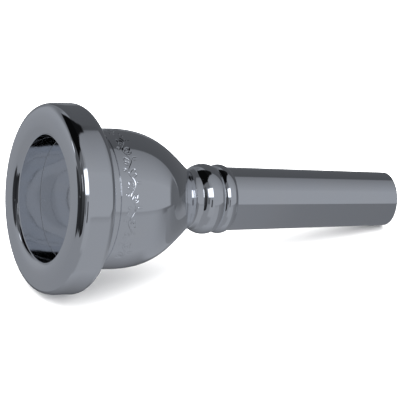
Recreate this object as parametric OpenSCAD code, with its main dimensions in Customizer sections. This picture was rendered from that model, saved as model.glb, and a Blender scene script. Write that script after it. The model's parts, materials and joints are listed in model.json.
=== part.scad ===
// Mouthpiece of a brass instrument, tenor trombone size, silver plated.
// It comes apart into a screw rim, a cup and a shank, with a rubber ring in
// each of its two screwed joints. Millimetres.
//
// Every piece is turned about one axis. Profiles are lists of [radius, station]:
// station 0 is the plane of the rim's crest, and stations grow along the axis
// towards the small end of the shank. The assembled profile is then laid down
// the way the mouthpiece rests on a table: on the rim's band and on the tip of
// the shank, with the rim towards -X and the origin under the middle of its box.

/* [Rim] */
// Outside diameter of the rim's band
rim_diameter = 38.5; // [34:0.1:46.2]
// Inside diameter at the bite, where the rim turns into the cup
bite_diameter = 25.4; // [23:0.1:30.5]
// Radial distance from the bite out to the crest of the rim
crest_inset = 3; // [2:0.1:4]
// Depth of the bite below the crest
bite_depth = 1.3; // [0.8:0.1:2]
// Depth over which the face of the rim rounds into the band
lip_depth = 3.66; // [2.5:0.02:5]
// Squareness of that rounding: 2 is an ellipse, more is boxier
lip_squareness = 3.6; // [2:0.1:5]
// Width of the flat band
band_width = 2.5; // [1.5:0.1:6]
// Axial depth of the rounding behind the band
back_depth = 2.6; // [1.5:0.1:5]
// Radial height of the hollow fillet between that rounding and the collar
shoulder_height = 1.4; // [0.8:0.1:2.5]
// Axial length of the same fillet
shoulder_length = 1.25; // [0.8:0.05:3]
// Length of the plain collar in front of the parting line
collar_length = 1.1; // [0.8:0.1:4]
// Wall of the collar outside its thread
collar_wall = 1.05; // [0.9:0.05:2]

/* [Cup] */
// Depth of the bowl, from the crest to the throat
bowl_depth = 26; // [20:0.1:33]
// Inward lean of the bowl's upper wall, radius per unit of depth
bowl_draft = 0.09; // [0.04:0.01:0.12]
// Length of the cup's outside that stays at the collar's diameter
cup_straight = 3.9; // [2:0.1:6]
// Rise of the cup's outside above the neck where the hollow of the neck begins
neck_flare = 0.96; // [0.5:0.02:1.5]
// Length of the spigot on the cup that screws into the rim
rim_spigot = 5.55; // [5:0.05:7]
// Wall of that spigot at its smooth nose
rim_nose_wall = 0.55; // [0.45:0.05:1]
// Step from the nose up to the pitch line of its thread
rim_thread_step = 0.33; // [0.3:0.01:0.6]

/* [Shank] */
// Diameter of the throat bore
throat_diameter = 6.6; // [5.8:0.05:8]
// Length of the cylindrical throat
throat_length = 12; // [9:0.5:20]
// Diameter of the bore at the small end
backbore_diameter = 9.5; // [8.4:0.05:9.8]
// Outside diameter at the small end
tip_diameter = 11.2; // [10.8:0.05:13]
// Taper of the shank, diameter per unit of length
shank_taper = 0.05; // [0.04:0.001:0.06]
// Length of the tapered shank, from the small bead to the tip
shank_length = 38.6; // [30:0.1:48]
// Rounding of the outer edge at the tip
tip_round = 0.45; // [0.2:0.05:0.6]
// Length of the spigot on the shank that screws into the cup
cup_spigot = 5.9; // [5.2:0.05:8]
// Wall of that spigot at its smooth nose
cup_nose_wall = 0.8; // [0.6:0.05:1.2]
// Step from the nose up to the pitch line of its thread
cup_thread_step = 0.58; // [0.5:0.01:0.8]
// Wall of the neck outside that thread
neck_wall = 1.52; // [1.2:0.02:2.5]
// Length of the narrowest part of the neck
neck_length = 0.9; // [0.5:0.1:2]
// Height of the large bead above the neck
large_bead_height = 1.03; // [0.6:0.01:1.5]
// Profile radius of the large bead
large_bead_radius = 3.9; // [2.5:0.1:5]
// Height of the small bead above the neck
small_bead_height = 0.92; // [0.8:0.01:1.5]
// Profile radius of the small bead
small_bead_radius = 2.1; // [1.6:0.1:3]
// Height of the bottom of the groove between the beads above the neck
groove_height = 0.36; // [0.3:0.01:0.45]

/* [Joints] */
// Radial clearance of every screwed or sliding fit
fit = 0.05; // [0.03:0.01:0.1]
// Gap between two faces that close on each other
seat_gap = 0.02; // [0.01:0.01:0.05]
// Section diameter of the two rubber rings
ring_section = 0.9; // [0.7:0.05:1.1]
// Length of the groove that holds a ring
ring_groove = 1.1; // [1:0.05:1.3]
// Width of the lip that keeps a ring in its groove
ring_lip = 0.35; // [0.3:0.05:0.5]
// Length of the plain relief at the root of each spigot
relief_length = 0.6; // [0.4:0.05:0.8]
// Break of the two edges at each parting line
edge_break = 0.1; // [0.05:0.01:0.15]

/* [Hidden] */

// segments of a full turn, of a ring's section and of one stretch of a curved profile
$fn = 160;
ring_facets = 48;
curve = 12;

// points closer together than this are one
same_point = 0.0001;

// the noses of the spigots stop this far from the floors of their sockets
nose_gap = 2 * seat_gap;

rim_r = rim_diameter / 2;
bite_r = bite_diameter / 2;
crest_r = bite_r + crest_inset;
throat_r = throat_diameter / 2;
tip_r = tip_diameter / 2;

// stations along the rim, down to the parting line with the cup
band_front_s = lip_depth;
band_back_s = band_front_s + band_width;
shoulder_s = band_back_s + back_depth;
collar_s = shoulder_s + shoulder_length;
rim_seam_s = collar_s + collar_length;
rim_floor_s = rim_seam_s - rim_spigot;

// radii of the joint between rim and cup, from the bowl outwards
bowl_r = bite_r - bowl_draft * (rim_floor_s - bite_depth);
rim_nose_r = bowl_r + rim_nose_wall;
rim_thread_r = rim_nose_r + rim_thread_step;
collar_r = rim_thread_r + collar_wall;

// radii and stations of the joint between cup and shank
cup_nose_r = throat_r + cup_nose_wall;
cup_thread_r = cup_nose_r + cup_thread_step;
neck_r = cup_thread_r + neck_wall;
cup_floor_s = bowl_depth;
cup_seam_s = cup_floor_s + cup_spigot;

// the hollow of the neck: one curve, cut at its middle by the parting line. Its
// handles are shares of its length, and seam_cut is what its halves lose there.
neck_run = 1.9;
hollow_handles = [0.4, 0.3];
flare_slope = 0.855;
seam_cut = 0.05;
neck_mid = (1 + 3 * (1 - hollow_handles[0]) + 3 * hollow_handles[1]) / 8;
neck_s = cup_seam_s + neck_mid * neck_run;
neck_top = [neck_r + neck_flare, neck_s - neck_run];
neck_curve = [
  neck_top,
  neck_top + neck_run * hollow_handles[0] * [-flare_slope, 1],
  [neck_r, neck_s - neck_run * hollow_handles[1]],
  [neck_r, neck_s]
];
neck_seam_r = (neck_curve[0].x + 3 * neck_curve[1].x + 3 * neck_curve[2].x + neck_curve[3].x) / 8;

// stations of the beads and the shank
large_r = neck_r + large_bead_height;
small_r = neck_r + small_bead_height;
groove_r = neck_r + groove_height;
shank_top_r = tip_r + shank_taper / 2 * (shank_length - tip_round);
large_s = neck_s + neck_length + chord(large_bead_radius, large_bead_height);
groove_s = large_s + chord(large_bead_radius, large_r - groove_r);
small_s = groove_s + chord(small_bead_radius, small_r - groove_r);
shank_s = small_s + chord(small_bead_radius, small_r - shank_top_r);
tip_s = shank_s + shank_length;
throat_end_s = cup_floor_s + throat_length;

// ----- curves -----

// half the width of a circle of radius r, a given drop below its top
function chord(r, drop) = sqrt(r * r - (r - drop) * (r - drop));

// points of a cubic curve through its four control points, from t0 to t1
function cubic(p, t0 = 0, t1 = 1) = [
  for (i = [0:curve])
    let (t = t0 + (t1 - t0) * i / curve, u = 1 - t)
      u * u * u * p[0] + 3 * u * u * t * p[1] + 3 * u * t * t * p[2] + t * t * t * p[3]
];

// quarter of a superellipse about a centre, from straight above it in station
// (a0 = 0) to straight beside it in radius (a1 = 90)
function quarter(centre, size, e, a0 = 0, a1 = 90) = [
  for (i = [0:curve])
    let (a = a0 + (a1 - a0) * i / curve)
      centre + [size.x * pow(max(sin(a), 0), 2 / e), size.y * pow(max(cos(a), 0), 2 / e)]
];

// arc of a bead whose top has radius top_r at station s, between two other stations
function bead(top_r, s, r, from_s, to_s) =
  let (a0 = asin((from_s - s) / r), a1 = asin((to_s - s) / r))
    [for (i = [0:curve]) let (a = a0 + (a1 - a0) * i / curve) [top_r - r + r * cos(a), s + r * sin(a)]];

// ----- profiles -----

// the face of the rim from the bite over the crest, the band and the shoulder
bite_squareness = 2.4;
rim_outside = concat(
  quarter([crest_r, bite_depth], [bite_r - crest_r, -bite_depth], bite_squareness, 90, 0),
  quarter([crest_r, lip_depth], [rim_r - crest_r, -lip_depth], lip_squareness),
  quarter([collar_r + shoulder_height, band_back_s],
          [rim_r - collar_r - shoulder_height, back_depth], 2, 90, 0),
  quarter([collar_r + shoulder_height, collar_s], [-shoulder_height, -shoulder_length], 2),
  [[collar_r, rim_seam_s - edge_break], [collar_r - edge_break, rim_seam_s]]
);

// the bowl, from the parting of its wall down to the throat: a long wall that
// turns in to a knee, and a short run from the knee into the throat
knee_inset = 0.9;
knee_rise = 1.6;
wall_handle = 9;
turn_handle = [4.8, -3.8];
knee_handle = [-0.45, 0.36];
throat_handle = 0.6;
bowl_knee = [throat_r + knee_inset, bowl_depth - knee_rise];
bowl_side = cubic([
  [bowl_r, rim_floor_s + nose_gap],
  [bowl_r - bowl_draft * wall_handle, rim_floor_s + wall_handle],
  bowl_knee + turn_handle,
  bowl_knee
]);
bowl_bottom = cubic([
  bowl_knee,
  bowl_knee + knee_handle,
  [throat_r, bowl_depth - throat_handle],
  [throat_r, bowl_depth]
]);

// the outside of the cup, from the parting line of the rim to that of the shank.
// The handles of its curve are shares of its length.
cup_handles = [0.515, 0.28];
cup_top_s = rim_seam_s + cup_straight;
cup_run = neck_top.y - cup_top_s;
cup_outside = concat(
  [[collar_r - edge_break, rim_seam_s + seat_gap], [collar_r, rim_seam_s + seat_gap + edge_break]],
  cubic([
    [collar_r, cup_top_s],
    [collar_r, cup_top_s + cup_run * cup_handles[0]],
    neck_top + cup_run * cup_handles[1] * [flare_slope, -1],
    neck_top
  ]),
  cubic(neck_curve, 0, 0.5 - seam_cut),
  [[neck_seam_r - edge_break, cup_seam_s]]
);

// the outside of the shank, from its parting line to the tip
shank_outside = concat(
  [[neck_seam_r - edge_break, cup_seam_s + seat_gap]],
  cubic(neck_curve, 0.5 + seam_cut, 1),
  bead(large_r, large_s, large_bead_radius, neck_s + neck_length, groove_s),
  bead(small_r, small_s, small_bead_radius, groove_s, shank_s),
  quarter([tip_r - tip_round, tip_s - tip_round], [tip_round, tip_round], 2, 90, 0)
);

// ----- how it rests -----

// distance from a point on the axis to the table line of a profile, at a tilt
function reach(profile, tilt) = max([for (p = profile) p.x * cos(tilt) + p.y * sin(tilt)]);

// the tilt at which the rim and the shank touch the table together
function rest_tilt(low, high, steps) =
  let (mid = (low + high) / 2)
    steps == 0 ? mid
    : reach(rim_outside, mid) > reach(shank_outside, mid) ? rest_tilt(mid, high, steps - 1)
    : rest_tilt(low, mid, steps - 1);

steepest = 45;
halvings = 40;
tilt = rest_tilt(0, steepest, halvings);
rest_z = reach(rim_outside, tilt);
low_x = min([for (p = rim_outside) p.y * cos(tilt) - p.x * sin(tilt)]);
high_x = max([for (p = shank_outside) p.y * cos(tilt) + p.x * sin(tilt)]);

module lay()
  translate([-(low_x + high_x) / 2, 0, rest_z])
    rotate([0, 90 + tilt, 0])
      children();

// a solid turned from a closed profile, whose stretches share their end points
module turned(profile)
  lay()
    rotate_extrude()
      polygon([
        for (i = [0:len(profile) - 1])
          if (norm(profile[i] - profile[(i + 1) % len(profile)]) > same_point) profile[i]
      ]);

// a rubber ring seated round a nose of a given radius, from a given station
module sealing_ring(nose_r, floor_s)
  lay()
    translate([0, 0, floor_s + ring_groove / 2])
      rotate_extrude()
        translate([nose_r + seat_gap + ring_section / 2, 0])
          circle(d = ring_section, $fn = ring_facets);

// socket in the end of a piece: ring groove, lip, then the thread's pitch surface
function socket(nose_r, thread_r, floor_s, seam_s) =
  let (
    groove_r = nose_r + ring_section + 2 * seat_gap,
    lip_s = floor_s + ring_groove,
    thread_s = lip_s + ring_lip
  )
  [
    [thread_r + fit, seam_s],
    [thread_r + fit, thread_s],
    [nose_r + fit, thread_s],
    [nose_r + fit, lip_s],
    [groove_r, lip_s],
    [groove_r, floor_s]
  ];

// spigot that fits it, from the root of the thread to the tip of the nose
function spigot(nose_r, thread_r, floor_s, seam_s) =
  let (
    lead = thread_r - nose_r,
    nose_s = floor_s + ring_groove + ring_lip + fit
  )
  [
    [nose_r, seam_s],
    [nose_r, seam_s - relief_length],
    [thread_r, seam_s - relief_length],
    [thread_r, nose_s + lead],
    [nose_r, nose_s],
    [nose_r, floor_s + nose_gap + edge_break],
    [nose_r - edge_break, floor_s + nose_gap]
  ];

// ----- pieces -----

// rim with its lip, band and collar, and the socket that the cup screws into
module rim()
  color("gainsboro")
    turned(concat(
      rim_outside,
      socket(rim_nose_r, rim_thread_r, rim_floor_s, rim_seam_s),
      [[bowl_r, rim_floor_s]]
    ));

// rubber ring in the rim's groove
module rim_seal()
  color("dimgray")
    sealing_ring(rim_nose_r, rim_floor_s);

// cup: bowl inside, the rim's spigot on top and the shank's socket below
module cup()
  color("silver")
    turned(concat(
      cup_outside,
      socket(cup_nose_r, cup_thread_r, cup_floor_s, cup_seam_s),
      [[throat_r, cup_floor_s]],
      reversed(bowl_bottom),
      reversed(bowl_side),
      reversed(spigot(rim_nose_r, rim_thread_r, rim_floor_s, rim_seam_s + seat_gap))
    ));

// rubber ring in the cup's groove
module cup_seal()
  color("dimgray")
    sealing_ring(cup_nose_r, cup_floor_s);

// shank: beads, tapered tube, the throat and the backbore through it
module shank()
  color("gainsboro")
    turned(concat(
      shank_outside,
      [
        [backbore_diameter / 2, tip_s],
        [throat_r, throat_end_s],
        [throat_r, cup_floor_s + nose_gap]
      ],
      reversed(spigot(cup_nose_r, cup_thread_r, cup_floor_s, cup_seam_s + seat_gap))
    ));

function reversed(list) = [for (i = [len(list) - 1:-1:0]) list[i]];

rim();
rim_seal();
cup();
cup_seal();
shank();
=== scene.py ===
import json
import math

import bpy
import numpy as np
from mathutils import Matrix, Vector


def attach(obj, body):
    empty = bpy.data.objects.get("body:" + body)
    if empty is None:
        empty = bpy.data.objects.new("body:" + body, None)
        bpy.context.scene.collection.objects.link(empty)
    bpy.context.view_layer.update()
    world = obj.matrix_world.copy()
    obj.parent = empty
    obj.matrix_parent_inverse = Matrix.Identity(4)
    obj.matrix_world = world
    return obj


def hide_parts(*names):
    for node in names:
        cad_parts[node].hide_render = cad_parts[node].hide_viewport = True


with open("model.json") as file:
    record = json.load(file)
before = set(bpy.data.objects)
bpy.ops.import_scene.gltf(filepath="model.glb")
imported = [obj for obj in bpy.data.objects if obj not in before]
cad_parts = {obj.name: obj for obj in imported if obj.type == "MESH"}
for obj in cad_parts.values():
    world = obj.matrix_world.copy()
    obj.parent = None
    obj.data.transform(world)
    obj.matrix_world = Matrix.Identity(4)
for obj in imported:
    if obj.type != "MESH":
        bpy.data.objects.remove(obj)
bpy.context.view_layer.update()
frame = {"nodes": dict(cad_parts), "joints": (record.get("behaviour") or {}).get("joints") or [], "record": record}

MM = 0.001
FULL_TURN = 2 * math.pi

# ---------------------------------------------------------------- places, all from the frame

joints = {joint["name"]: joint for joint in frame["joints"]}
RIM_SEAM = Vector(joints["rim_turn"]["pos_m"])
CUP_SEAM = Vector(joints["cup_turn"]["pos_m"])
DOWN_AXIS = -Vector(joints["rim_turn"]["axis"]).normalized()  # towards the tip of the shank
SIDE = Vector((0, 1, 0))
LIFT = DOWN_AXIS.cross(SIDE)
PITCH = FULL_TURN / frame["record"]["behaviour"]["couplings"][0]["ratio"]


def node_points(node):
    mesh = frame["nodes"][node].data
    co = np.zeros(len(mesh.vertices) * 3)
    mesh.vertices.foreach_get("co", co)
    return co.reshape(-1, 3)


CREST = RIM_SEAM + DOWN_AXIS * float(((node_points("rim") - np.array(RIM_SEAM)) @ np.array(DOWN_AXIS)).min())


def station(point):
    """How far a point lies beyond the plane of the rim's crest, towards the tip of the shank."""
    return (Vector(point) - CREST).dot(DOWN_AXIS)


RIM_SEAM_S = station(RIM_SEAM)
CUP_SEAM_S = station(CUP_SEAM)

# ---------------------------------------------------------------- camera

AXIS_LEAN = math.radians(27.4)  # how far the axis points away from the picture plane
CREST_DISTANCE = 0.600
CREST_LEFT = 0.0319  # from the middle of the picture
CREST_ABOVE = 0.00027
FOCAL_LENGTH = 270.4  # millimetres, as is the sensor's width
SENSOR_WIDTH = 36
CLIP_RANGE = (0.01, 100)


def add_camera():
    """Adds the camera. Returns its up direction and the direction from the object back to it."""
    tilt = math.asin(-DOWN_AXIS.z)
    azimuth = -math.acos(math.cos(AXIS_LEAN) / math.cos(tilt))
    elevation = math.atan2(math.sin(tilt), -math.cos(tilt) * math.sin(azimuth))
    back = Vector((
        math.sin(azimuth) * math.cos(elevation),
        -math.cos(azimuth) * math.cos(elevation),
        math.sin(elevation),
    ))
    right = Vector((math.cos(azimuth), math.sin(azimuth), 0))
    up = back.cross(right)
    data = bpy.data.cameras.new("camera")
    data.lens = FOCAL_LENGTH
    data.sensor_width = SENSOR_WIDTH
    data.clip_start, data.clip_end = CLIP_RANGE
    camera = bpy.data.objects.new("camera", data)
    bpy.context.scene.collection.objects.link(camera)
    camera.matrix_world = Matrix((
        (right.x, up.x, back.x, 0), (right.y, up.y, back.y, 0), (right.z, up.z, back.z, 0), (0, 0, 0, 1)
    ))
    camera.location = CREST + back * CREST_DISTANCE + right * CREST_LEFT - up * CREST_ABOVE
    bpy.context.scene.camera = camera
    return up, back


CAM_UP, CAM_BACK = add_camera()
CAM_ANGLE = math.atan2(CAM_BACK.dot(SIDE), CAM_BACK.dot(LIFT))  # the side of the pieces that it faces

# ---------------------------------------------------------------- profiles, read off the CAD pieces

SAME_RING = 0.004 * MM  # points nearer to each other than this lie on one ring
STRAIGHT_TURN = math.radians(0.15)  # points that turn less only divide a straight stretch


def find_rings(r, s):
    """The (radius, station) of each ring of points on a turned node, and the ring of each point."""
    rings = []
    ring_of = np.full(len(s), -1)
    for i in np.lexsort((r, s)):
        k = len(rings) - 1
        while k >= 0 and s[i] - rings[k][1] <= SAME_RING and abs(r[i] - rings[k][0]) >= SAME_RING:
            k -= 1
        if k < 0 or s[i] - rings[k][1] > SAME_RING:
            rings.append((r[i], s[i]))
            k = len(rings) - 1
        ring_of[i] = k
    return rings, ring_of


def walk_rings(mesh, ring_of, count):
    """The numbers of the rings in their order round the outline, which the mesh's edges give."""
    near = {k: [] for k in range(count)}
    for edge in mesh.edges:
        a, b = ring_of[edge.vertices[0]], ring_of[edge.vertices[1]]
        if a != b and b not in near[a]:
            near[a].append(b)
            near[b].append(a)
    walk = [0, near[0][0]]
    while len(walk) < count:
        walk.append(next(k for k in near[walk[-1]] if k != walk[-2]))
    return walk


def cad_profile(node):
    """The closed outline of a turned CAD node, as ordered (radius, station) points."""
    from_crest = node_points(node) - np.array(CREST)
    s = from_crest @ np.array(DOWN_AXIS)
    r = np.linalg.norm(from_crest - np.outer(s, DOWN_AXIS), axis=1)
    rings, ring_of = find_rings(r, s)
    points = np.array([rings[k] for k in walk_rings(frame["nodes"][node].data, ring_of, len(rings))])
    into = points - np.roll(points, 1, axis=0)
    out_of = np.roll(points, -1, axis=0) - points
    turn = np.arctan2(into[:, 0] * out_of[:, 1] - into[:, 1] * out_of[:, 0], np.sum(into * out_of, axis=1))
    points = points[np.abs(turn) > STRAIGHT_TURN]
    area = np.sum(points[:, 0] * np.roll(points[:, 1], -1) - np.roll(points[:, 0], -1) * points[:, 1])
    return points if area > 0 else points[::-1]


# ---------------------------------------------------------------- finer profiles

CORNER = math.radians(22)  # a sharper turn than this is an edge, not a curve
EDGE_CUT = 0.07 * MM  # how far the rounding of an edge reaches along both its sides
BEAD_CUT = 0.3 * MM  # the same in the hollow corners beside the beads
BEAD_STATIONS = (CUP_SEAM_S + 1 * MM, CUP_SEAM_S + 11 * MM)  # the shank's two beads lie between these
CUT_SHARE = 0.3  # a rounding takes at most this share of the stretch that it cuts
EDGE_POINTS = 4
STRAIGHT_RATIO = 4  # a stretch this much longer than a neighbour is a straight one
BEND_STEP = math.radians(3)
LONGEST_STEP = 1.5 * MM


def unit(vectors):
    return vectors / np.linalg.norm(vectors, axis=-1)[..., None]


def curve_tangents(into, out_of, lengths):
    """The outline's direction at each point: that of a straight stretch beside it, or one between the two."""
    before, after = np.roll(lengths, 1), np.roll(lengths, -1)
    straight = lengths > STRAIGHT_RATIO * np.minimum(before, after)
    straight_before = np.roll(straight, 1)
    weight_in = np.where(straight_before, 1, np.where(straight, 0, lengths))
    weight_out = np.where(straight, 1, np.where(straight_before, 0, before))
    return unit(into * weight_in[:, None] + out_of * weight_out[:, None])


def edge_run(corner_point, into, out_of, cut):
    """Points and directions of the rounding of an edge, without its last point."""
    u = np.arange(EDGE_POINTS)[:, None] / EDGE_POINTS
    start, end = corner_point - into * cut, corner_point + out_of * cut
    points = (1 - u) ** 2 * start + 2 * u * (1 - u) * corner_point + u**2 * end
    return points, unit((1 - u) * into + u * out_of)


def curve_run(start, start_dir, end, end_dir, count):
    """Points and directions of a cubic curve between two places, without its last point."""
    u = np.arange(count)[:, None] / count
    span = np.linalg.norm(end - start)
    terms = (start, start_dir * span, end, end_dir * span)
    places = (2 * u**3 - 3 * u**2 + 1, u**3 - 2 * u**2 + u, 3 * u**2 - 2 * u**3, u**3 - u**2)
    slopes = (6 * u**2 - 6 * u, 3 * u**2 - 4 * u + 1, 6 * u - 6 * u**2, 3 * u**2 - 2 * u)
    points = sum(place * term for place, term in zip(places, terms))
    return points, unit(sum(slope * term for slope, term in zip(slopes, terms)))


def step_count(start, start_dir, end, end_dir, zones):
    """How many steps a stretch needs for its length, its bend and the zone that it lies in."""
    r, s = (start + end) / 2
    step = LONGEST_STEP
    for low_s, high_s, low_r, high_r, zone_step in zones:
        if low_s <= s <= high_s and low_r <= r <= high_r:
            step = zone_step
    bend = math.acos(max(-1, min(1, float(start_dir @ end_dir))))
    return max(1, math.ceil(np.linalg.norm(end - start) / step), math.ceil(bend / BEND_STEP))


def smooth_profile(points, zones):
    """Radius, station and unit direction of a finer outline through the same points.

    Curves get a smooth run between their points, and edges a small rounding. Zones are
    (low station, high station, low radius, high radius, step) boxes with their own step."""
    sides = np.roll(points, -1, axis=0) - points
    lengths = np.linalg.norm(sides, axis=1)
    out_of = sides / lengths[:, None]
    into = np.roll(out_of, 1, axis=0)
    corner = np.arccos(np.clip(np.sum(into * out_of, axis=1), -1, 1)) > CORNER
    hollow = into[:, 0] * out_of[:, 1] < into[:, 1] * out_of[:, 0]
    beside_beads = (points[:, 1] > BEAD_STATIONS[0]) & (points[:, 1] < BEAD_STATIONS[1])
    widest = CUT_SHARE * np.minimum(np.roll(lengths, 1), lengths)
    cut = np.where(corner, np.minimum(np.where(hollow & beside_beads, BEAD_CUT, EDGE_CUT), widest), 0)
    tangent = curve_tangents(into, out_of, lengths)
    runs = []
    for i in range(len(points)):
        j = (i + 1) % len(points)
        if corner[i]:
            runs.append(edge_run(points[i], into[i], out_of[i], cut[i]))
        start, end = points[i] + out_of[i] * cut[i], points[j] - out_of[i] * cut[j]
        start_dir = out_of[i] if corner[i] else tangent[i]
        end_dir = out_of[i] if corner[j] else tangent[j]
        count = step_count(start, start_dir, end, end_dir, zones)
        runs.append(curve_run(start, start_dir, end, end_dir, count))
    return np.concatenate([run[0] for run in runs]), np.concatenate([run[1] for run in runs])


# ---------------------------------------------------------------- threads

THREAD_DEPTH = 0.25 * MM
THREAD_FADE = 0.5 * MM
THREAD_REACH = 8 * MM  # a thread lies at most this far before its seam
THREAD_PAST = 0.1 * MM  # and ends at most this far beyond it
THREAD_STEEPNESS = 1.6  # 1 is a plain zigzag, and more gives flat roots and crests
THREAD_STEP = PITCH / 10
THREAD_ZONE = 0.1 * MM  # to each side of the threaded wall
ON_WALL = 0.02 * MM  # points of the profile this near to the thread's radius are on it
LEVEL_WALL = 0.002 * MM  # a stretch whose radius changes by less runs along the axis
JOINT_RADII = (-0.7 * MM, 0.8 * MM)  # about a thread, the surfaces that its joint hides
JOINT_END = 0.01 * MM  # how far before the seam those surfaces end


def smoothstep(x):
    x = np.clip(x, 0, 1)
    return x * x * (3 - 2 * x)


def thread_wave(s, theta):
    """A screw thread with flat roots and crests, -1 to 1, the same along its helix."""
    phase = (-s / PITCH - theta / FULL_TURN) % 1
    return np.clip(THREAD_STEEPNESS * (4 * np.abs(phase - 0.5) - 1), -1, 1)


def thread_stretch(points, seam_s):
    """Low station, high station and radius of the thread: the longest level stretch just before a seam."""
    found = []
    for a, b in zip(points, np.roll(points, -1, axis=0)):
        low, high = sorted((a[1], b[1]))
        level = abs(a[0] - b[0]) < LEVEL_WALL
        if level and seam_s - THREAD_REACH < low and high < seam_s + THREAD_PAST:
            found.append((high - low, low, high, a[0]))
    return max(found)[1:]


def hidden_in_joint(profile, seams, threads):
    """1 for the profile's points that a joint hides, and 0 for the others."""
    r, s = profile.T
    hidden = np.zeros(len(profile))
    for seam_s, (_, _, radius) in zip(seams, threads):
        beside_thread = (r > radius + JOINT_RADII[0]) & (r < radius + JOINT_RADII[1])
        before_seam = (s > seam_s - THREAD_REACH) & (s < seam_s - JOINT_END)
        hidden = np.maximum(hidden, beside_thread & before_seam)
    return hidden


# ---------------------------------------------------------------- turned pieces


def even_angles(count):
    return np.arange(count) * FULL_TURN / count


def relief(profile, angles, threads, ornament):
    """How far threads and ornament raise the surface, by point of the profile and by angle."""
    r, s = profile[:, :1], profile[:, 1:]
    theta = angles[None, :]
    rise = np.zeros((len(profile), len(angles)))
    for low, high, radius in threads:
        inside = (np.abs(r - radius) < ON_WALL) & (s > low) & (s < high)
        fade = smoothstep((s - low) / THREAD_FADE) * smoothstep((high - s) / THREAD_FADE)
        rise += np.where(inside, THREAD_DEPTH * fade * thread_wave(s, theta), 0)
    if ornament:
        rows = np.nonzero((s > ORNAMENT_S[0]) & (s < ORNAMENT_S[1]) & (r > ORNAMENT_R))[0]
        rise[rows] -= ornament(s[rows], r[rows], theta)
    return rise


def swept_surface(profile, tangent, angles, rise, gaps):
    """Places and normals of a raised profile swept round the axis.

    The normals come from the slopes of the surface, so that a mirror finish shows no facets."""
    lift, side, down = np.array(LIFT), np.array(SIDE), np.array(DOWN_AXIS)
    cos, sin = np.cos(angles)[None, :, None], np.sin(angles)[None, :, None]
    outward, around = cos * lift + sin * side, cos * side - sin * lift
    radius = (profile[:, :1] + rise)[..., None]
    places = np.array(CREST) + radius * outward + profile[:, 1:, None] * down

    length = np.concatenate([[-gaps[-1]], np.cumsum(gaps) - gaps, [gaps.sum()]])
    slope_along = np.gradient(np.pad(rise, ((1, 1), (0, 0)), "wrap"), length, axis=0)[1:-1]
    turn = np.concatenate([angles[-1:] - FULL_TURN, angles, angles[:1] + FULL_TURN])
    slope_round = np.gradient(np.pad(rise, ((0, 0), (1, 1)), "wrap"), turn, axis=1)[:, 1:-1]
    along = (tangent[:, :1] + slope_along)[..., None] * outward + tangent[:, 1:, None] * down
    across = slope_round[..., None] * outward + radius * around
    return places, unit(np.cross(along, across))


def grid_faces(rows, cols, rows_close=False, cols_close=False):
    """Quads between the points of a grid. A direction that closes joins its last line to its first."""
    index = np.arange(rows * cols).reshape(rows, cols)
    below = np.roll(index, -1, axis=0)
    quads = np.stack([index, below, np.roll(below, -1, axis=1), np.roll(index, -1, axis=1)], axis=-1)
    return quads[: rows if rows_close else -1, : cols if cols_close else -1].reshape(-1, 4)


def closed_mesh(name, places, normals):
    rows, cols = places.shape[:2]
    count = rows * cols
    mesh = bpy.data.meshes.new(name)
    mesh.vertices.add(count)
    mesh.vertices.foreach_set("co", places.ravel())
    mesh.loops.add(count * 4)
    mesh.loops.foreach_set("vertex_index", grid_faces(rows, cols, True, True).ravel())
    mesh.polygons.add(count)
    mesh.polygons.foreach_set("loop_start", np.arange(count) * 4)
    mesh.polygons.foreach_set("use_smooth", np.ones(count, bool))
    mesh.update(calc_edges=True)
    mesh.validate()
    mesh.normals_split_custom_set_from_vertices(normals.reshape(-1, 3))
    return mesh


def unwrap(mesh, angles, gaps):
    """A map with turns round the axis in u and metres along the profile in v."""
    length = np.concatenate([[0], np.cumsum(gaps)])
    u, v = np.meshgrid(np.append(angles, angles[0] + FULL_TURN) / FULL_TURN, length)
    here, ahead = slice(None, -1), slice(1, None)
    corners = [(here, here), (ahead, here), (ahead, ahead), (here, ahead)]
    uv = np.stack([values[corner] for corner in corners for values in (u, v)], axis=-1)
    mesh.uv_layers.new(name="turned").data.foreach_set("uv", uv.ravel())


def turned_piece(name, node, body, material, angles, seams=(), ornament=None):
    """The CAD node's outline, refined and swept round the axis, with threads and ornament cut in it."""
    outline = cad_profile(node)
    threads = [thread_stretch(outline, seam_s) for seam_s in seams]
    zones = [(low, high, r - THREAD_ZONE, r + THREAD_ZONE, THREAD_STEP) for low, high, r in threads]
    if ornament:
        zones.append((*ORNAMENT_S, ORNAMENT_R, math.inf, ORNAMENT_STEP))
    profile, tangent = smooth_profile(outline, zones)
    gaps = np.linalg.norm(np.roll(profile, -1, axis=0) - profile, axis=1)
    rise = relief(profile, angles, threads, ornament)
    mesh = closed_mesh(name, *swept_surface(profile, tangent, angles, rise, gaps))
    inner = np.repeat(hidden_in_joint(profile, seams, threads), len(angles))
    mesh.attributes.new("inner", "FLOAT", "POINT").data.foreach_set("value", inner)
    unwrap(mesh, angles, gaps)
    mesh.materials.append(material)

    piece = bpy.data.objects.new(name, mesh)
    bpy.context.scene.collection.objects.link(piece)
    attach(piece, body)
    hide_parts(node)


# ---------------------------------------------------------------- ornament engraved round the cup

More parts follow.
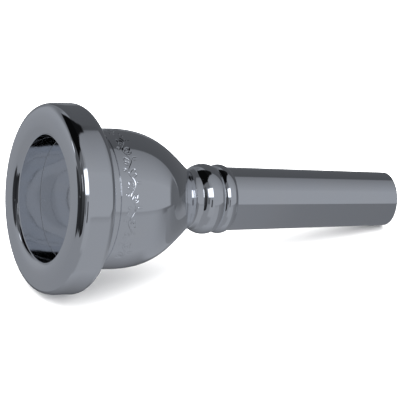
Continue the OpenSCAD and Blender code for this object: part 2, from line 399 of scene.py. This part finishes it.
ORNAMENT_S = (RIM_SEAM_S + 0.5 * MM, RIM_SEAM_S + 4.7 * MM)
ORNAMENT_R = 13.5 * MM  # between the bowl and the outside of the cup
ORNAMENT_STEP = 0.11 * MM
ORNAMENT_ARC = (math.radians(-56), math.radians(80))  # about the side that the camera faces
GROOVE_HALF = 0.18 * MM
GROOVE_DEPTH = 0.105 * MM
STEM_WAVE = 5.2 * MM
STEM_SWING = 0.55 * MM
STEM_FADE = 0.3 * MM
LEAF_LENGTH = 1.9 * MM
LEAF_WIDTH = 0.42 * MM
LEAF_FADE = 0.06  # share of a leaf's length over which its outline starts and ends
VEIN_FADE = 0.1
VEIN_END = (0.72, 0.12)  # where the vein ends and how long it takes to, as shares of the leaf's length
VEIN_HALF = 0.7 * GROOVE_HALF
VEIN_DEPTH = 0.8  # share of the depth of the outline
LEAVES = ((0.62, 1.0), (1.35, 0.74))  # tilt from the stem and size of the two leaves in each bend
LEAF_START = 0.12  # where they start, as a share of half a wave
BERRY_OFFSET = 1.3 * MM
BERRY_RADIUS = 0.26 * MM
BERRY_HALF = 0.8 * GROOVE_HALF


def groove(distance, half=GROOVE_HALF):
    return 1 - smoothstep(distance / half)


def leaf(a, b, base_a, base_b, angle, length, width):
    """An almond leaf with its middle vein, drawn from its base at an angle."""
    u = ((a - base_a) * math.cos(angle) + (b - base_b) * math.sin(angle)) / length
    v = (b - base_b) * math.cos(angle) - (a - base_a) * math.sin(angle)
    edge = width * 4 * u * (1 - u)
    outline = np.abs(np.abs(v) - edge) / np.sqrt(1 + (width / length * 4 * (1 - 2 * u)) ** 2)
    ends = smoothstep(u / LEAF_FADE) * smoothstep((1 - u) / LEAF_FADE)
    vein_ends = smoothstep(u / VEIN_FADE) * smoothstep((VEIN_END[0] - u) / VEIN_END[1])
    vein = VEIN_DEPTH * groove(np.abs(v), VEIN_HALF) * vein_ends
    return np.maximum(groove(outline) * ends, vein)


def vine(s, r, theta):
    """Depth of the engraving: a waving stem with two leaves in each bend and a berry across from them."""
    turn = (theta - CAM_ANGLE + math.pi) % FULL_TURN - math.pi
    a = r * turn
    b = s - sum(ORNAMENT_S) / 2
    start, end = (angle * float(r.max()) for angle in ORNAMENT_ARC)
    wave = FULL_TURN / STEM_WAVE
    stem = STEM_SWING * np.sin(wave * (a - start))
    slope = STEM_SWING * wave * np.cos(wave * (a - start))
    ends = smoothstep((a - start) / STEM_FADE) * smoothstep((end - a) / STEM_FADE)
    cut = groove(np.abs(b - stem) / np.sqrt(1 + slope**2)) * ends
    bend = STEM_WAVE / 2
    for k in range(int((end - start) / bend)):
        at = start + (k + LEAF_START) * bend
        up = 1 if k % 2 else -1
        base = STEM_SWING * math.sin(wave * (at - start))
        for tilt, scale in LEAVES:
            cut = np.maximum(cut, leaf(a, b, at, base, up * tilt, scale * LEAF_LENGTH, scale * LEAF_WIDTH))
        ring = np.abs(np.hypot(a - at - bend / 2, b + up * BERRY_OFFSET) - BERRY_RADIUS)
        cut = np.maximum(cut, groove(ring, BERRY_HALF))
    return GROOVE_DEPTH * cut


# ---------------------------------------------------------------- materials

SILVER_COOL = (0.86, 0.885, 0.925)
SILVER_WARM = (0.90, 0.905, 0.915)
BRASS = (0.80, 0.62, 0.34)
BRASS_SHOWN = 0.55  # how much of it shows through the plate in a joint
POLISH = 0.035  # roughness of the best polished places
WEAR = 0.05  # how much rougher the least polished places are
SHANK_WEAR = 0.07
JOINT_SATIN = 0.22  # added roughness in a joint
TURNING_LINE = 0.09 * MM
TURNING_DEPTH = 0.002 * MM
TURNING_CHANGE = 0.05  # how much the lines change in a full turn, in steps of the noise
RUBBER_DARK = (0.016, 0.016, 0.017)
RUBBER_DUSTY = (0.045, 0.044, 0.043)
RUBBER_ROUGHNESS = (0.45, 0.75)
RUBBER_GRAIN_DEPTH = 0.01 * MM


def new_material(name):
    material = bpy.data.materials.new(name)
    material.use_nodes = True
    tree = material.node_tree
    shader = next(n for n in tree.nodes if n.type == "BSDF_PRINCIPLED")
    return material, tree, shader


def add_node(tree, kind, **values):
    node = tree.nodes.new(kind)
    for key, value in values.items():
        if key in node.inputs:
            node.inputs[key].default_value = value
        else:
            setattr(node, key, value)
    return node


def ramp(tree, source, low, high):
    """A socket from 0..1 mapped onto low..high."""
    node = add_node(tree, "ShaderNodeMapRange")
    node.inputs["To Min"].default_value = low
    node.inputs["To Max"].default_value = high
    tree.links.new(source, node.inputs["Value"])
    return node.outputs["Result"]


def scaled(tree, source, factor, added=None):
    """A socket times a factor, plus another socket if there is one."""
    node = add_node(tree, "ShaderNodeMath", operation="MULTIPLY_ADD" if added else "MULTIPLY")
    node.inputs[1].default_value = factor
    tree.links.new(source, node.inputs[0])
    if added:
        tree.links.new(added, node.inputs[2])
    return node.outputs[0]


def noise(tree, vector, scale, detail):
    node = add_node(tree, "ShaderNodeTexNoise", Scale=scale, Detail=detail)
    tree.links.new(vector, node.inputs["Vector"])
    return node.outputs["Fac"]


def blend_colour(tree, factor, first, second):
    node = add_node(tree, "ShaderNodeMix", data_type="RGBA")
    colour_sockets = [socket for socket in node.inputs if socket.type == "RGBA"]
    tree.links.new(factor, node.inputs[0])
    for socket, value in zip(colour_sockets, (first, second)):
        if isinstance(value, tuple):
            socket.default_value = (*value, 1)
        else:
            tree.links.new(value, socket)
    return next(socket for socket in node.outputs if socket.type == "RGBA")


def add_bump(tree, shader, height, strength, distance):
    bump = add_node(tree, "ShaderNodeBump", Strength=strength, Distance=distance)
    tree.links.new(height, bump.inputs["Height"])
    tree.links.new(bump.outputs["Normal"], shader.inputs["Normal"])


def silver_plate(name, wear):
    """Polished silver plate: faint turning lines, small differences in polish, and brass in the joints."""
    material, tree, shader = new_material(name)
    place = add_node(tree, "ShaderNodeTexCoord").outputs["Object"]
    uv = add_node(tree, "ShaderNodeUVMap", uv_map="turned").outputs["UV"]
    inner = add_node(tree, "ShaderNodeAttribute", attribute_name="inner").outputs["Fac"]

    plate = blend_colour(tree, noise(tree, place, scale=140, detail=5), SILVER_COOL, SILVER_WARM)
    colour = blend_colour(tree, scaled(tree, inner, BRASS_SHOWN), plate, BRASS)
    tree.links.new(colour, shader.inputs["Base Color"])
    shader.inputs["Metallic"].default_value = 1.0

    smudges = ramp(tree, noise(tree, place, scale=70, detail=6), POLISH, POLISH + wear)
    tree.links.new(scaled(tree, inner, JOINT_SATIN, smudges), shader.inputs["Roughness"])

    scale = (TURNING_CHANGE, 1 / TURNING_LINE, 1)
    lines = add_node(tree, "ShaderNodeMapping", vector_type="POINT", Scale=scale)
    tree.links.new(uv, lines.inputs["Vector"])
    turned = noise(tree, lines.outputs["Vector"], scale=1, detail=3)
    add_bump(tree, shader, turned, strength=0.1, distance=TURNING_DEPTH)
    return material


def seal_rubber(name):
    """Matte black rubber with a fine grain and a little dust."""
    material, tree, shader = new_material(name)
    place = add_node(tree, "ShaderNodeTexCoord").outputs["Object"]
    dust = noise(tree, place, scale=900, detail=6)
    tree.links.new(blend_colour(tree, dust, RUBBER_DARK, RUBBER_DUSTY), shader.inputs["Base Color"])
    roughness = ramp(tree, noise(tree, place, scale=400, detail=4), *RUBBER_ROUGHNESS)
    tree.links.new(roughness, shader.inputs["Roughness"])
    shader.inputs["Specular IOR Level"].default_value = 0.4
    grain = noise(tree, place, scale=5200, detail=3)
    add_bump(tree, shader, grain, strength=0.35, distance=RUBBER_GRAIN_DEPTH)
    return material


# ---------------------------------------------------------------- the pieces

COLUMNS = 192  # of a piece all the way round
ORNAMENT_COLUMN = math.radians(0.5)
ORNAMENT_MARGIN = 0.02  # radians of fine columns beyond the ornament
PLAIN_COLUMNS = 70  # of the cup, over the rest of its turn


def cup_angles():
    """Fine columns across the ornament, and wide ones round the rest of the cup."""
    fine = np.arange(ORNAMENT_ARC[0] - ORNAMENT_MARGIN, ORNAMENT_ARC[1] + ORNAMENT_MARGIN, ORNAMENT_COLUMN)
    plain = np.linspace(fine[-1], fine[0] + FULL_TURN, PLAIN_COLUMNS + 2)[1:-1]
    return CAM_ANGLE + np.concatenate([fine, plain])


CUP_SEAMS = [RIM_SEAM_S, CUP_SEAM_S]
rim_plate = silver_plate("silver_plate_rim", WEAR)
cup_plate = silver_plate("silver_plate_cup", WEAR)
shank_plate = silver_plate("silver_plate_shank", SHANK_WEAR)
rubber = seal_rubber("seal_rubber_black")

turned_piece("rim_body", "rim", "rim", rim_plate, even_angles(COLUMNS), [RIM_SEAM_S])
turned_piece("cup_body", "cup", "cup", cup_plate, cup_angles(), CUP_SEAMS, vine)
turned_piece("shank_body", "shank", "shank", shank_plate, even_angles(COLUMNS), [CUP_SEAM_S])
turned_piece("rim_ring", "rim_seal", "rim_ring", rubber, even_angles(COLUMNS // 2))
turned_piece("cup_ring", "cup_seal", "cup_ring", rubber, even_angles(COLUMNS // 2))

# ---------------------------------------------------------------- painted reflections: what the polished pieces reflect

FACING = (CAM_BACK - DOWN_AXIS * CAM_BACK.dot(DOWN_AXIS)).normalized()  # square to the axis, camera side
ABOVE = FACING.cross(DOWN_AXIS)
if ABOVE.dot(CAM_UP) < 0:
    ABOVE = -ABOVE

TINT = np.array((0.94, 0.985, 1.075))
BASE_GREY = 0.25
TENT_RADIUS = 0.5
TENT_CENTRE = Vector((0, 0, 0.019))  # near the middle of the object
TENT_STEP = 1  # degrees
# The tent is no lamp, and its greys are painted reflections. The brightest rows, 0.6 to 1.7, are strips that paint
# the highlights, and the rows near 0 paint the black reflections.
# A panel's place is given in degrees: along the axis from -90, the rim's end, to 90, the shank's end,
# and round the axis from 0, the camera's side, to 90, above. A row of the list holds
#   along from, along to, round from, round to, width of the soft edge, grey at round from, grey at round to
# and, for a panel that tapers, the two round angles at its shank end. Greys are linear.
# Later panels cover earlier ones.
PANELS = [
    (0, 62, -152, -25, 14, 0.31, 0.31),
    (-8, 33, -172, -95, 6, 0.07, 0.32),
    (-20, 10, -62, -2, 10, 0.32, 0.34),
    (52, 110, -175, -5, 30, 0.26, 0.175),
    (54, 78, -34, -10, 8, 0.15, 0.14),
    (-60, 2, 120, 156, 8, 0.17, 0.17),
    (-64, -10, 138, 178, 26, 0.33, 0.30),
    (-12, 33, 149, 170, 10, 0.19, 0.17),
    (13, 31, 170, 189, 3, 0.60, 0.60),
    (-4, 70, -22, 32, 3, 0.34, 0.335),
    (-4, 70, 30, 89, 3, 0.325, 0.19),
    (69, 110, -60, 80, 6, 0.13, 0.13),
    (80, 110, -180, 179, 12, 0.135, 0.135),
    (4, 110, 88, 150, 3, 0.085, 0.10),
    (33, 110, 142, 188, 6, 0.10, 0.13),
    (-110, -70, -180, 179, 3, 0.02, 0.02),
    (-52, -15, 36, 63, 6, 0.15, 0.14),
    (-72, -37, -80, 46, 3, 0.01, 0.085, -44, 46),
    (-50, -37, -50, 12, 4, 0.015, 0.04, -40, 8),
    (-33, -22, -20, 6, 5, 0.12, 0.12),
    (-110, -56, 44, 150, 6, 0.085, 0.085),
    (-72, -50, 148, 222, 3, 0.035, 0.02, 175, 189),
    (-57, -16, 57, 121, 5, 0.003, 0.003),
    (-21, 2, 57, 121, 5, 0.003, 0.003, 75, 105),
    (-3, 20, 73, 107, 4, 0.006, 0.006, 84, 96),
    (-12, -4, -28, -4, 2, 0.06, 0.06),
    (-30, 0, 4, 33, 3, 1.7, 1.7),
    (-59, -55, 10, 36, 2, 0.9, 0.9),
    (-63, -57, 131, 147, 3, 0.9, 0.9),
]


def direction(along, turn):
    """Unit vectors at angles along and round the axis, in radians."""
    ring = np.cos(turn)[..., None] * np.array(FACING) + np.sin(turn)[..., None] * np.array(ABOVE)
    return np.sin(along)[..., None] * np.array(DOWN_AXIS) + np.cos(along)[..., None] * ring


def reflected_only(name, places, faces, grey):
    """A glowing shell that shows in reflections and nowhere else."""
    mesh = bpy.data.meshes.new(name)
    mesh.from_pydata(places.reshape(-1, 3).tolist(), [], faces.tolist())
    paint = np.concatenate([grey.reshape(-1, 1) * TINT, np.ones((grey.size, 1))], axis=1)
    mesh.attributes.new("paint", "FLOAT_COLOR", "POINT").data.foreach_set("color", paint.ravel())
    material = bpy.data.materials.new(name)
    material.use_nodes = True
    tree = material.node_tree
    tree.nodes.clear()
    colour = add_node(tree, "ShaderNodeAttribute", attribute_name="paint")
    glow = add_node(tree, "ShaderNodeEmission")
    surface = add_node(tree, "ShaderNodeOutputMaterial")
    tree.links.new(colour.outputs["Color"], glow.inputs["Color"])
    tree.links.new(glow.outputs["Emission"], surface.inputs["Surface"])
    mesh.materials.append(material)
    shell = bpy.data.objects.new(name, mesh)
    bpy.context.scene.collection.objects.link(shell)
    shell.visible_camera = shell.visible_diffuse = shell.visible_shadow = shell.visible_transmission = False


def covering(value, low, high, soft):
    return smoothstep((value - low) / soft + 0.5) * smoothstep((high - value) / soft + 0.5)


def panel_grey(along, turn):
    """The tent's painted glow at angles in degrees: the light and shade that the polished pieces reflect."""
    grey = np.full(along.shape, BASE_GREY)
    for along0, along1, turn0, turn1, soft, grey0, grey1, *far in PANELS:
        far0, far1 = far or (turn0, turn1)
        t = np.clip((along - along0) / (along1 - along0), 0, 1)
        middle = (turn0 + turn1) / 2 * (1 - t) + (far0 + far1) / 2 * t
        half = (turn1 - turn0) / 2 * (1 - t) + (far1 - far0) / 2 * t
        off = (turn - middle + 180) % 360 - 180
        cover = covering(off, -half, half, soft) * covering(along, along0, along1, soft)
        shade = grey0 + (grey1 - grey0) * np.clip(off / half / 2 + 0.5, 0, 1)
        grey += (shade - grey) * cover
    return grey


def tent():
    """A glowing shell round everything, seen only in reflections, painted with soft panels of light and shade:
    painted reflections and painted highlights.
    """
    ends = np.arange(-90, 90 + TENT_STEP, TENT_STEP)
    along, turn = np.meshgrid(ends, np.arange(0, 360, TENT_STEP), indexing="ij")
    places = np.array(TENT_CENTRE) + TENT_RADIUS * direction(np.radians(along), np.radians(turn))
    reflected_only("tent", places, grid_faces(*along.shape, cols_close=True), panel_grey(along, turn))


# A painted reflection: a glowing card under the shank that only the polished pieces see.
CARD_RADIUS = 28 * MM
CARD_ARC = (-168, -19)  # degrees round the axis
CARD_COLUMNS = 60
# station in millimetres and linear grey
CARD_ROWS = [(53, 0.215), (62, 0.205), (70, 0.185), (84, 0.176), (102, 0.17)]


def shank_card():
    """A darker glowing card curved under the shank, seen only in reflections: a painted reflection for the mid
    grey along the shank's lower side.
    """
    s, grey = (np.array(values)[:, None] for values in zip(*CARD_ROWS))
    turn = np.radians(np.linspace(*CARD_ARC, CARD_COLUMNS))[None, :]
    ring = direction(np.zeros_like(turn), turn)
    places = np.array(CREST) + CARD_RADIUS * ring + s[..., None] * MM * np.array(DOWN_AXIS)
    faces = grid_faces(len(CARD_ROWS), CARD_COLUMNS)
    reflected_only("shank_card", places, faces, np.repeat(grey, CARD_COLUMNS, axis=1))


MOUTH_STATION = 0.8 * MM
MOUTH_RADIUS = 12.6 * MM
MOUTH_RINGS = 40
MOUTH_HOLE = 0.01  # share of the radius
MOUTH_STEP = 3  # degrees
# The shade is a soft darker patch on the card: painted shade in the bowl's reflection.
MOUTH_GREY = 0.27
SHADE_GREY = 0.235
SHADE_CENTRE = (-1 * MM, -1 * MM)  # towards the camera, and up
SHADE_HALF = (6 * MM, 5 * MM)
SHADE_EDGE = (1.2, 0.4)  # where its soft edge ends and how wide it is, as shares of its half sizes


def mouth_card():
    """A glowing grey card across the bite, seen only in reflections: a painted reflection inside the bowl in place
    of the tent's bright strips and dark panels, with a soft darker patch of painted shade.
    """
    radius = np.linspace(MOUTH_HOLE, 1, MOUTH_RINGS)[:, None] * MOUTH_RADIUS
    turn = np.radians(np.arange(0, 360 + MOUTH_STEP, MOUTH_STEP))[None, :]
    out, up = radius * np.cos(turn), radius * np.sin(turn)
    ring = direction(np.zeros_like(turn), turn)
    places = np.array(CREST + MOUTH_STATION * DOWN_AXIS) + radius[..., None] * ring
    away = np.hypot((out - SHADE_CENTRE[0]) / SHADE_HALF[0], (up - SHADE_CENTRE[1]) / SHADE_HALF[1])
    grey = MOUTH_GREY + (SHADE_GREY - MOUTH_GREY) * smoothstep((SHADE_EDGE[0] - away) / SHADE_EDGE[1])
    reflected_only("mouth_card", places, grid_faces(*out.shape), grey)


tent()
shank_card()
mouth_card()

# ---------------------------------------------------------------- floor, lights and world

FLOOR_RADIUS = 4
FLOOR_WHITE = (0.86, 0.86, 0.86, 1)
WORLD_STRENGTH = 3.0


def floor():
    bpy.ops.mesh.primitive_circle_add(vertices=96, radius=FLOOR_RADIUS, fill_type="NGON", location=(0, 0, 0))
    disc = bpy.context.object
    disc.name = "floor"
    material, _, shader = new_material("floor_white")
    shader.inputs["Base Color"].default_value = FLOOR_WHITE
    shader.inputs["Roughness"].default_value = 0.9
    shader.inputs["Specular IOR Level"].default_value = 0.0
    disc.data.materials.append(material)
    disc.visible_glossy = False


def area_light(name, place, size, power):
    """A soft round light that points at the origin and stays out of reflections."""
    data = bpy.data.lights.new(name, "AREA")
    data.shape = "DISK"
    data.size = size
    data.energy = power
    lamp = bpy.data.objects.new(name, data)
    bpy.context.scene.collection.objects.link(lamp)
    lamp.location = place
    lamp.rotation_euler = (-Vector(place)).to_track_quat("-Z", "Y").to_euler()
    lamp.visible_glossy = False


def white_world():
    world = bpy.data.worlds.new("world")
    world.use_nodes = True
    background = world.node_tree.nodes["Background"]
    background.inputs["Color"].default_value = (1, 1, 1, 1)
    background.inputs["Strength"].default_value = WORLD_STRENGTH
    bpy.context.scene.world = world


floor()
area_light("key_light", place=(-0.6, -0.5, 1.4), size=1.2, power=8)
area_light("fill_light", place=(0.9, 0.3, 1.2), size=1.4, power=4)
white_world()
bpy.context.scene.view_settings.view_transform = "Standard"
